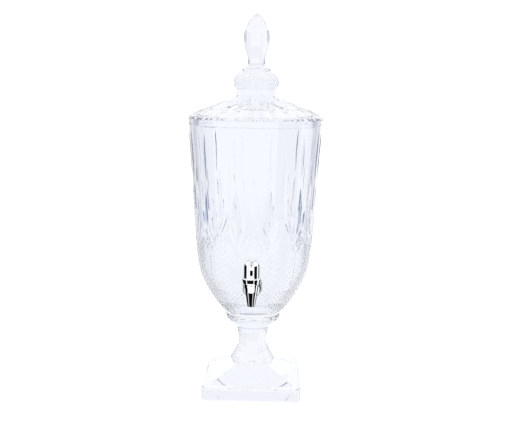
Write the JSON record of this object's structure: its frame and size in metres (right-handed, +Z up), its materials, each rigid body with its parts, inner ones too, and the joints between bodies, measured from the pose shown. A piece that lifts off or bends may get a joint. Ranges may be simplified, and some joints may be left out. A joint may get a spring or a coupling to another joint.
{
  "type": "beverage dispenser",
  "caption": "Footed cut-pattern glass drinks dispenser: tall bowl glued to a square pedestal, lift-off lid with a bud finial, and a chromed spring-closed lever tap.",
  "frame": {"origin": "centre of the flat underside of the square foot", "axes": "+Z up along the bowl's axis, -Y towards the tap, +X to the right as seen from the tap side"},
  "size_m": [0.19, 0.2084, 0.5355],
  "materials": {
    "clear_glass": "clear pressed and cut glass, polished",
    "chrome": "bright chrome plate",
    "stainless": "bright drawn stainless steel",
    "silicone": "translucent food-grade silicone",
    "nylon": "natural white nylon",
    "adhesive": "clear cured adhesive film"
  },
  "bodies": {
    "dispenser": {"foot": "clear_glass", "foot_bond": "adhesive", "bowl": "clear_glass", "tap_body": "chrome", "bonnet_o_ring": "silicone", "tap_bonnet": "chrome", "stem_o_ring": "silicone", "lever_pivot_pin": "stainless", "valve_spring": "stainless", "outer_seal_washer": "silicone", "inner_seal_washer": "silicone", "slip_washer": "nylon", "shank_nut": "nylon"},
    "lid": {"lid": "clear_glass", "finial_bond": "adhesive", "finial": "clear_glass"},
    "lever": {"tap_lever": "chrome"},
    "valve": {"valve_stem": "stainless", "valve_plug": "silicone", "lift_pin": "stainless"}
  },
  "joints": [
    {"name": "lid_lift", "type": "slide", "parent": "dispenser", "child": "lid", "axis": [0, 0, 1], "range_m": [0, 0.12]},
    {"name": "lever_pull", "type": "hinge", "parent": "dispenser", "child": "lever", "pos_m": [0, -0.0915, 0.204], "axis": [-1, 0, 0], "range_deg": [0, 30], "stiffness_Nm_per_rad": 0.05, "springref_deg": -28.65},
    {"name": "valve_lift", "type": "slide", "parent": "dispenser", "child": "valve", "axis": [0, 0, 1], "range_m": [0, 0.0038], "deforming": ["valve_spring"]}
  ],
  "couplings": [
    {"joint": "valve_lift", "follows": "lever_pull", "m_per_rad": 0.007167}
  ]
}
